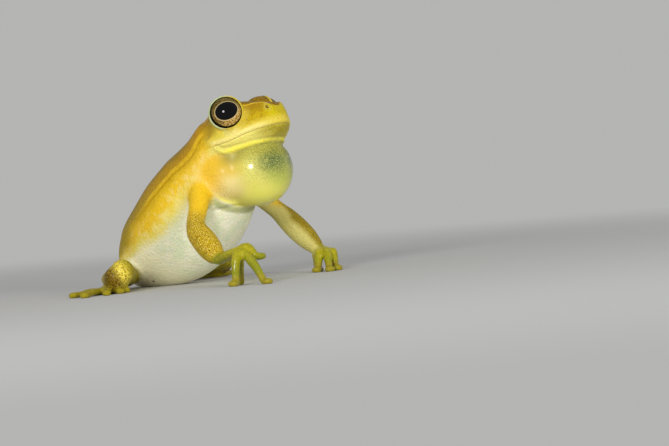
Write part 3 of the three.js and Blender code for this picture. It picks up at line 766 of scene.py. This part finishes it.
off_leg = np.minimum(off_thigh, off_shank)
off_body = np.minimum(off_trunk, off_sac)
on_foot = smooth_step(off_leg, 0.1, 0.35) * smooth_step(points[:, 2], 1.0, 0.8)
fields = {
    "girth": np.clip((round_trunk - stripe_angle) / (white_angle - stripe_angle), -2, 3),
    "stripe": np.clip(stripe, -3, 3),
    "stripe_strength": faded(stripe_share, 0.3, 0.01),
    "head": smooth_step(ahead, -0.9, 0.4) * smooth_step(off_sac, 0.15, 0.5),
    "canthus": np.clip(canthus, -3, 3),
    "before_eye": before_eye,
    "mouth": np.clip(mouth, -3, 3),
    "mouth_strength": has_mouth,
    "throat_fold": np.minimum(abs(throat_fold - 0.05), 3) + 0.3 * smooth_step(throat_share, 0.5, 0.08),
    "ear": ear,
    "sac": smooth_step(off_sac, 0.55, 0.1) * smooth_step(off_arm, -0.1, 0.2),
    "sac_height": sac_way[:, 2],
    "off_sac": np.clip(off_sac, -1, 3),
    # painted shade: the dark patch where the shaded inside of the sac shows through
    "sac_patch": ridge(np.arccos(np.clip(shade_way @ SAC_SHADE_WAY, -1, 1)), SHADE_WIDTH),
    "sac_front": sac_way[:, 0],
    "trunk_share": share,
    "ahead": ahead,
    "nostril": nostril_pit,
    "lid_ahead": lid_ahead,
    "arm": smooth_step(off_arm - off_body, 0.4, -0.4),
    "forearm": smooth_step(arm_share, 0.4, 0.62),
    "arm_pale": arm_pale,
    "hand": on_hand,
    "finger": on_finger,
    # painted shade on the top of the left arm
    "arm_top": arm_top,
    "leg": smooth_step(off_leg - off_trunk, 0.4, -0.4),
    "shank": smooth_step(off_shank - off_thigh, 0.25, -0.25),
    "knee_end": knee_end,
    "knee": knee_end * ridge(off_shank - off_thigh - 0.3, 0.45),
    "foot": on_foot * smooth_step(off_trunk, 0.4, 1),
    "lid": lid,
    "blush": ridge(distances(folded, BLUSH), 1.5),
}
for name, values in fields.items():
    layer = skin_mesh.attributes.new(name, "FLOAT", "POINT")
    layer.data.foreach_set("value", values.astype(np.float32))


# Finish of the skin: thin, moist and a little clear, golden on the back and arms and cream below. Each
# part's colours are laid on as coats, and noise breaks up their edges into blotches and grain. Some
# coats are painted shade and painted highlights, as marked below.
class Wire:
    """A value worked out in a material. An operator on it adds the Math node that does the sum."""

    def __init__(self, paint, socket):
        self.paint = paint
        self.socket = socket

    def math(self, operation, *others):
        return self.paint.node("Math", {"operation": operation}, dict(enumerate((self, *others))))

    def __add__(self, other):
        return self.math("ADD", other)

    def __sub__(self, other):
        return self.math("SUBTRACT", other)

    def __rsub__(self, other):
        return self.math("MULTIPLY_ADD", -1.0, other)

    def __mul__(self, other):
        return self.math("MULTIPLY", other)

    def __abs__(self):
        return self.math("ABSOLUTE")

    __radd__ = __add__
    __rmul__ = __mul__

    def step(self, low, high):
        """0 at low, 1 at high and 3t^2 - 2t^3 between, also where high is the smaller of the two."""
        return self.paint.node("MapRange", {"interpolation_type": "SMOOTHSTEP"},
                               {"Value": self, "From Min": low, "From Max": high})

    def band(self, middle, inner, outer):
        """1 up to the inner distance from the middle value, falling to 0 at the outer one."""
        return 1 - abs(self - middle).step(inner, outer)


def colour(code):
    """Linear red, green, blue and alpha of a colour written as six hexadecimal figures."""
    levels = np.array([int(code[i:i + 2], 16) for i in (0, 2, 4)]) / 255
    linear = np.where(levels > 0.04045, ((levels + 0.055) / 1.055) ** 2.4, levels / 12.92)
    return (*linear, 1.0)


class Paint:
    """A material with one shader, to which formulas add their nodes."""

    def __init__(self, name):
        self.material = bpy.data.materials.new(name)
        self.material.use_nodes = True
        self.tree = self.material.node_tree
        self.shader = self.tree.nodes["Principled BSDF"]

    def node(self, kind, settings=None, inputs=None, output=0):
        """Adds a node of a kind, with its settings, and with values or wires for its inputs."""
        made = self.tree.nodes.new("ShaderNode" + kind)
        for name, value in (settings or {}).items():
            setattr(made, name, value)
        for name, value in (inputs or {}).items():
            self.plug(made.inputs[name], value)
        return Wire(self, made.outputs[output])

    def plug(self, socket, value):
        """Gives a socket a wire, a colour's code or a plain value."""
        if isinstance(value, Wire):
            self.tree.links.new(value.socket, socket)
        else:
            socket.default_value = colour(value) if isinstance(value, str) else value

    def finish(self, **inputs):
        """Sets the shader's sockets, named with _ for a space."""
        for name, value in inputs.items():
            self.plug(self.shader.inputs[name.replace("_", " ")], value)

    def mix(self, base, over, share):
        """Colour that goes from the base to the one over it as the share goes from 0 to 1."""
        return self.node("Mix", {"data_type": "RGBA"}, {0: share, 6: base, 7: over}, 2)

    def layers(self, base, *coats):
        """Colours mixed over the base one after the other, each by its own share."""
        for over, share in coats:
            base = self.mix(base, over, share)
        return base

    def field(self, name):
        return self.node("Attribute", {"attribute_name": name}, output="Fac")

    def position(self):
        """Place on the piece in millimetres."""
        here = self.node("TexCoord", output="Object")
        return self.node("VectorMath", {"operation": "SCALE"}, {0: here, "Scale": 1 / MM})

    def noise(self, place, scale, detail=2.0):
        return self.node("TexNoise", inputs={"Vector": place, "Scale": scale, "Detail": detail})

    def distance(self, first, second):
        return self.node("VectorMath", {"operation": "DISTANCE"}, {0: first, 1: second}, "Value")


BLOTCHES = 0.7, 1.8, 4.5, 9.0  # per millimetre, from broad to fine
SPECKS_AND_GLINTS, PEBBLES = 12.0, 4.2  # per millimetre too
BELLY_DOT, BELLY_DOT_EDGE = (0.49, -2.22, 0.56), (0.16, 0.09)
BUMP_HEIGHT = 0.09
CLEAR_DEPTH = 0.5  # that light reaches into the skin
paint = Paint("moist skin")
here = paint.position()
field = SimpleNamespace(**{name: paint.field(name) for name in fields})
broad, medium, fine, grain = (paint.noise(here, scale) for scale in BLOTCHES)
specks_and_glints = paint.noise(here, SPECKS_AND_GLINTS, detail=0.0)

girth = field.girth + (broad - 0.5) * 0.25 + (fine - 0.5) * 0.25 + (grain - 0.5) * 0.35
back = paint.layers(
    "a48a10",
    ("be900a", field.trunk_share.step(0.2, 0.75)),
    # painted shade: the middle of the back darker, where it turns away from the light
    ("7a680c", girth.step(-0.2, -0.8) * 0.7),
    ("86660a", fine.step(0.5, 0.68) * 0.55),
    ("d8ac20", grain.step(0.56, 0.7) * 0.5),
)
marbling = (medium * 0.7 + broad * 0.3).step(0.44, 0.62) * girth.step(0.15, 0.6) * girth.step(1.1, 0.8)
flank = paint.layers(
    "c8a208",
    ("ecc222", girth.step(0.02, 0.4)),
    ("d8b020", grain.step(0.5, 0.66) * 0.6),
    ("e8d660", girth.step(0.45, 0.95)),
    ("f4e49a", marbling * 0.42),
    ("93800e", field.trunk_share.step(0.32, 0.16) * girth.step(0.8, 0.3) * 0.8),
)
belly = paint.layers(
    "f4f2d8",
    ("dedb9e", grain.step(0.48, 0.64) * 0.6),
    ("d4e2b4", broad.step(0.45, 0.65) * 0.5),
    ("fff6cc", field.trunk_share.step(0.42, 0.25) * 0.9),
)
on_line = field.stripe_strength * field.stripe.band(-0.36, 0.02, 0.14) * fine.step(0.34, 0.5)
on_stripe = field.stripe_strength * field.stripe.band(0, 0.08, 0.3) * medium.step(0.2, 0.6)
sides = paint.mix(flank, belly, girth.step(0.8, 1.2))
body = paint.layers(
    back,
    (sides, girth.step(-0.12, 0.1)),
    ("a07808", on_line * 0.6),
    ("e6bc26", on_stripe * 0.75),
    ("f6d28e", field.blush * 0.8),
    ("2a2410", paint.distance(here, BELLY_DOT).step(*BELLY_DOT_EDGE)),
)

lip_line = field.mouth.band(0.22, 0.08, 0.4) * field.mouth_strength
crown = paint.mix("967204", "745804", fine.step(0.44, 0.62) * 0.8)
loreal = paint.layers(
    "c4a80a",
    ("947408", field.canthus.step(-1.3, -0.3) * 0.85),
    ("a87c0a", fine.step(0.46, 0.62) * 0.7),
    ("d2be08", field.ahead.step(4.8, 5.6) * 0.9),
)
cheek = paint.layers(
    "e2cc4a",
    ("a88a1c", field.ahead.step(1.4, 0.2) * field.mouth.step(0.5, 1.3)),
    (loreal, field.before_eye * field.mouth.step(0.35, 1.1)),
    ("c8a828", grain.step(0.54, 0.68) * 0.4),
    ("f6e690", lip_line * field.ahead.step(5.8, 4.5) * 0.7),
)
face = paint.layers(
    "ecde72",
    # painted shade: the lower jaw darker towards the snout tip, under the snout
    ("b09e22", field.ahead.step(3.6, 5.4)),
    ("e6dc80", grain.step(0.5, 0.66) * 0.4),
    (cheek, field.mouth.step(-0.05, 0.03)),
    ("8f8350", field.mouth.band(0, 0.01, 0.06) * field.mouth_strength * 0.5),
    (crown, field.canthus.step(-0.06, 0.12)),
    ("ecc838", field.canthus.band(0, 0.02, 0.13) * field.before_eye * 0.8),
    # painted highlight: a faint glint round the nostril
    ("fff6c8", field.nostril.band(0.36, 0.02, 0.12) * fine.step(0.42, 0.6) * 0.1),
    ("342604", field.nostril.step(0.24, 0.1) * 0.9),
)

sac_front, sac_height = field.sac_front, field.sac_height
speckled = sac_front.step(-0.2, 0.5) * sac_height.step(-0.75, 0.2)
sac_under = sac_height.step(-0.3, -0.55)
# painted shade in the crease between the sac and the chest
shade_under_sac = field.off_sac.band(0.7, 0.1, 0.45) * sac_under
# painted highlight along the sac's lower rim
sac_rim_highlight = field.off_sac.band(0.22, 0.03, 0.13) * sac_under
throat = paint.layers(
    "f2dc96",
    ("dcb848", sac_height.step(-0.25, 0.08)),
    # painted shade: the top of the throat darker, under the jaw
    ("a08e24", sac_height.step(0.04, 0.42)),
)
sac = paint.layers(
    "e2da6c",
    ("ccd05a", sac_front.step(0.6, 0.9)),
    ("f6f068", sac_height.step(-0.2, -0.75) * 0.85),
    # painted light: the top of the sac lightened where the snout shades it
    ("f4ec5c", sac_height.step(0.4, 0.7) * 0.6),
    (throat, sac_front.step(0.4, -0.24) * sac_height.step(-0.95, -0.4) * 0.88),
    # painted shade: grey-olive on the upper rear of the sac, under the jaw
    ("948a34", sac_height.step(0.15, 0.6) * sac_front.step(-0.6, -0.25) * 0.7),
    ("f0c232", sac_front.step(-0.22, -0.5) * sac_height.step(-0.6, -0.05) * 0.9),
    ("cc9e20", sac_front.step(-0.05, -0.5) * grain.step(0.5, 0.64) * 0.5),
    # painted shade: the dark patch where the shaded inside of the sac shows through
    ("4a5e30", field.sac_patch * medium.step(0.0, 0.5) * 0.95),
    ("56682a", specks_and_glints.step(0.42, 0.3) * speckled * 0.5),
    ("ece67c", specks_and_glints.step(0.58, 0.7) * speckled * 0.5),
)

arm = paint.layers(
    "f2c624",
    ("c0a00c", field.forearm),
    ("74520a", grain.step(0.48, 0.6) * field.forearm.step(-0.45, 1.0) * 0.75),
    # painted highlights: small wet glints, mostly on the forearms
    ("ffe678", specks_and_glints.step(0.58, 0.68) * field.forearm.step(-0.2, 1.0) * 0.7),
    # painted shade on the top of the left forearm
    ("7c7010", field.arm_top * field.forearm * 0.6),
    ("cec678", field.arm_pale * 0.85),
)
shank = paint.layers(
    "9c8a16",
    ("846608", field.knee_end),
    ("402e06", grain.step(0.43, 0.53) * field.knee_end.step(0.0, 0.4) * 0.9),
)
knee_spots = paint.mix("fbe65c", "86600a", grain.step(0.48, 0.56) * 0.8)
leg = paint.layers(
    "a89a1a",
    ("8a7c0e", medium.step(0.4, 0.6)),
    (shank, field.shank),
    (knee_spots, field.knee * 0.9),
)
hand = paint.layers(
    "aca00c",
    ("868810", fine.step(0.4, 0.65) * 0.7),
    ("7c8208", field.finger * 0.75),
    ("d8cc4c", specks_and_glints.step(0.62, 0.72) * 0.3),
)
lid_rim = paint.mix("c2cc98", "d2b83c", field.lid_ahead.step(-0.6, 0.5))
whole = paint.layers(
    body,
    (face, field.head),
    # partly painted light: the yellow throat fold is painted brighter than its own colour, for the light it
    # catches under the chin
    ("f8ec54", field.throat_fold.step(0.38, 0.06) * 0.85),
    ("b0902e", field.ear.step(0.65, 0.3) * 0.35),
    (sac, field.sac),
    # painted shade in the crease under the sac
    ("8c9236", shade_under_sac * 0.65),
    # painted highlight along the sac's lower rim
    ("f6ec74", sac_rim_highlight * 0.8),
    (arm, field.arm),
    (leg, field.leg),
    (hand, field.hand),
    ("9a8c1c", field.foot * 0.9),
    (lid_rim, field.lid),
)

taut_sac = field.sac * sac_front.step(0.0, 0.3) * sac_height.step(0.45, 0.28)
gaps = paint.node("TexVoronoi", inputs={"Vector": here, "Scale": PEBBLES}, output="Distance")
roughened = (1 - field.sac * 0.85) * (1 - field.hand * 0.75)
bump = ((1 - gaps) * 0.7 + grain * 0.5 + fine * 0.6) * roughened
normal = paint.node("Bump", inputs={"Height": bump, "Strength": 0.7, "Distance": BUMP_HEIGHT * MM})
paint.finish(
    Base_Color=whole,
    Roughness=0.6 - field.sac * 0.2 - grain * 0.1,
    Specular_IOR_Level=0.12,
    Coat_Weight=0.08 + taut_sac * 0.9 + field.hand * 0.4 + field.nostril.step(0.6, 0.25) * 0.6,
    Coat_Roughness=0.14,
    Subsurface_Weight=0.2,
    Subsurface_Radius=(1.0, 0.6, 0.25),
    Subsurface_Scale=CLEAR_DEPTH * MM,
    Normal=normal,
)
skin_mesh.materials.append(paint.material)
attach(skin, "root")
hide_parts("head", "trunk", "vocal_sac", *[
    f"{part}_{name}" for name in SIDES
    for part in ("upper_arm", "forearm", "hand", "thigh", "shank", "foot")])

# Eyeballs: clear wet domes. Behind them lies a coppery iris, netted with dark veins, round a pupil that is
# wider than it is high.
PUPIL_GAZE = unit(np.array([0.6, 0.8, 0.08]))
PUPIL_WIDE, PUPIL_HIGH = 0.7, 0.55  # as shares of the eyeball's radius
PUPIL_SAG = 0.08  # share by which the pupil reaches further below its middle than above it
PUPIL_TILT = -0.08
IRIS_EDGE = 0.925
VEINS, FLECKS = (6.0, 4.0), (11.0, 3.0)  # scale and detail
EYE_NET = 64, 96
eye_paint = Paint("eye")
eye_axis = eye_paint.node("Attribute", {"attribute_name": "on_iris"}, output="Vector")
eye_x, eye_y = (eye_paint.node("SeparateXYZ", inputs={0: eye_axis}, output=part) for part in "XY")
from_middle = (eye_x * eye_x + eye_y * eye_y).math("SQRT")
level = eye_y + eye_x * PUPIL_TILT
flat = eye_paint.node("MapRange", inputs={
    "Value": level, "From Min": -0.01, "From Max": 0.01,
    "To Min": (1 - PUPIL_SAG) / PUPIL_HIGH, "To Max": (1 + PUPIL_SAG) / PUPIL_HIGH})
tall = level * flat
wide = eye_x * (1 / PUPIL_WIDE)
out_of_pupil = (tall * tall + wide * wide).math("SQRT")
veins = eye_paint.noise(eye_axis, *VEINS)
flecks = eye_paint.noise(eye_axis, *FLECKS)
iris = eye_paint.layers(
    "b08a3a",
    ("f0cc84", flecks.step(0.42, 0.66)),
    ("6a5a1e", eye_y.step(-0.1, 0.5) * 0.9),
    ("5c4a18", eye_x.step(-0.1, -0.8) * 0.7),
    ("1c1206", abs(veins - 0.5).step(0.06, 0.0) * 0.9),
)
ringed_iris = eye_paint.mix("d8c088", iris, out_of_pupil.step(1.02, 1.12))
eye_colour = eye_paint.layers(
    "000000",
    (ringed_iris, out_of_pupil.step(0.99, 1.03)),
    ("060402", from_middle.step(IRIS_EDGE - 0.04, IRIS_EDGE)),
)
eye_paint.finish(
    Base_Color=eye_colour,
    Roughness=0.3,
    Specular_IOR_Level=0.0,
    Coat_Weight=0.15 + from_middle.step(0.9, 0.55) * 0.85,
    Coat_Roughness=0.02,
    Coat_IOR=1.33,
)
for name, side in SIDES.items():
    verts, faces = ball(eye_at[name], EYE_RADIUS, *EYE_NET)
    mesh = new_mesh(f"eyeball_{name}", verts * MM, faces)
    looks = looking(PUPIL_GAZE, side)
    level_axis = unit(FORWARD - (FORWARD @ looks) * looks)
    upper_axis = np.cross(level_axis, looks) * side
    axes = np.stack([level_axis, upper_axis, looks], 1)
    on_iris = (verts - eye_at[name]) / EYE_RADIUS @ axes
    layer = mesh.attributes.new("on_iris", "FLOAT_VECTOR", "POINT")
    layer.data.foreach_set("vector", on_iris.astype(np.float32).ravel())
    eye = added(f"eyeball_{name}", mesh)
    mesh.materials.append(eye_paint.material)
    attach(eye, "root")
    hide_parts(f"eye_{name}")

# Floor: a plain pale sheet under the frog. Further out it turns into the colour of the studio round it,
# so that no horizon shows behind the frog.
STUDIO = 0.46
STUDIO_COLOUR = (STUDIO, STUDIO, 0.985 * STUDIO, 1)
FLOOR_COLOUR = (0.58, 0.58, 0.572, 1)
FLOOR_REACH = 3000.0
FLOOR_FADE = 45.0, 150.0
FLOOR_SIDES = 96
floor_turn = np.linspace(0, 2 * np.pi, FLOOR_SIDES, endpoint=False)
floor_ring = np.stack([np.cos(floor_turn), np.sin(floor_turn), 0 * floor_turn], 1)
floor_rings = np.stack([floor_ring, FLOOR_REACH * floor_ring])
floor_points, floor_faces = net(floor_rings, 0 * UP, 0 * UP)
outer_tip = len(floor_points) - 1
sheet = floor_faces[(floor_faces < outer_tip).all(1)]
floor = added("floor", new_mesh("floor", floor_points[:outer_tip] * MM, sheet[:, ::-1]))
floor_paint = Paint("floor")
floor_paint.finish(Base_Color=FLOOR_COLOUR, Roughness=0.9, Specular_IOR_Level=0.1)
pale = Wire(floor_paint, floor_paint.shader.outputs[0])
glow = floor_paint.node("Emission", inputs={"Color": STUDIO_COLOUR})
fade = floor_paint.distance(floor_paint.position(), (0, 0, 0)).step(*FLOOR_FADE)
blend = floor_paint.node("MixShader", inputs={0: fade, 1: pale, 2: glow})
floor_paint.plug(floor_paint.tree.nodes["Material Output"].inputs["Surface"], blend)
floor.data.materials.append(floor_paint.material)

# Light: a grey studio all round, one soft lamp left of the camera and one in front of the frog. The
# second lamp only brightens the skin and isn't mirrored in it.
world = bpy.data.worlds.new("studio")
bpy.context.scene.world = world
world.use_nodes = True
world.node_tree.nodes["Background"].inputs["Color"].default_value = STUDIO_COLOUR
LIT = np.array([6.0, 0, 8.0])  # the point that the lamps face
LAMP_DISTANCE = 300.0


def direction(azimuth, elevation):
    """Unit vector towards a place round the frog: azimuth 0 is on its right side and 90 in front of it."""
    turn, lift = np.radians([azimuth, elevation])
    return np.array([np.sin(turn) * np.cos(lift), -np.cos(turn) * np.cos(lift), np.sin(lift)])


def softbox(name, azimuth, elevation, size, watts, mirrored):
    """A round soft lamp that faces the frog, from a distance and in a direction."""
    lamp = bpy.data.lights.new(name, "AREA")
    lamp.shape = "DISK"
    lamp.size = size * MM
    lamp.energy = watts
    towards = direction(azimuth, elevation)
    box = added(name, lamp)
    box.visible_glossy = mirrored
    box.location = (LIT + LAMP_DISTANCE * towards) * MM
    box.rotation_euler = Vector(towards).to_track_quat("Z", "Y").to_euler()


softbox("key lamp", azimuth=15, elevation=16, size=75, watts=0.42, mirrored=True)
softbox("front lamp", azimuth=66, elevation=11, size=110, watts=0.34, mirrored=False)

# Camera: in front of the frog and to its right, almost at floor level and rolled a little, as the
# photograph was taken. A known point on the floor keeps its place in the picture.
AZIMUTH, ELEVATION, ROLL = 32.0, 1.2, np.radians(5)
REFERENCE, REFERENCE_PIXEL = np.array([7.5, 0, 0]), (232, 281)
PIXEL_SIZE = 0.09  # at the frog
IMAGE = 669, 446
DISTANCE = 280.0
SENSOR = 36
camera_back = direction(AZIMUTH, ELEVATION)
level_right = unit(np.cross(UP, camera_back))
level_up = np.cross(camera_back, level_right)
camera_right = level_right * np.cos(ROLL) - level_up * np.sin(ROLL)
camera_up = level_right * np.sin(ROLL) + level_up * np.cos(ROLL)
aim = REFERENCE + PIXEL_SIZE * (
    (IMAGE[0] / 2 - REFERENCE_PIXEL[0]) * camera_right + (REFERENCE_PIXEL[1] - IMAGE[1] / 2) * camera_up)
camera_data = bpy.data.cameras.new("camera")
camera_data.sensor_width = SENSOR
camera_data.lens = SENSOR * DISTANCE / (PIXEL_SIZE * IMAGE[0])
camera_data.clip_start = 10 * MM
camera = added("camera", camera_data)
stand = np.eye(4)
stand[:3, :3] = np.stack([camera_right, camera_up, camera_back], 1)
stand[:3, 3] = (aim + DISTANCE * camera_back) * MM
camera.matrix_world = Matrix(stand.tolist())
bpy.context.scene.camera = camera
bpy.context.scene.view_settings.view_transform = "Standard"
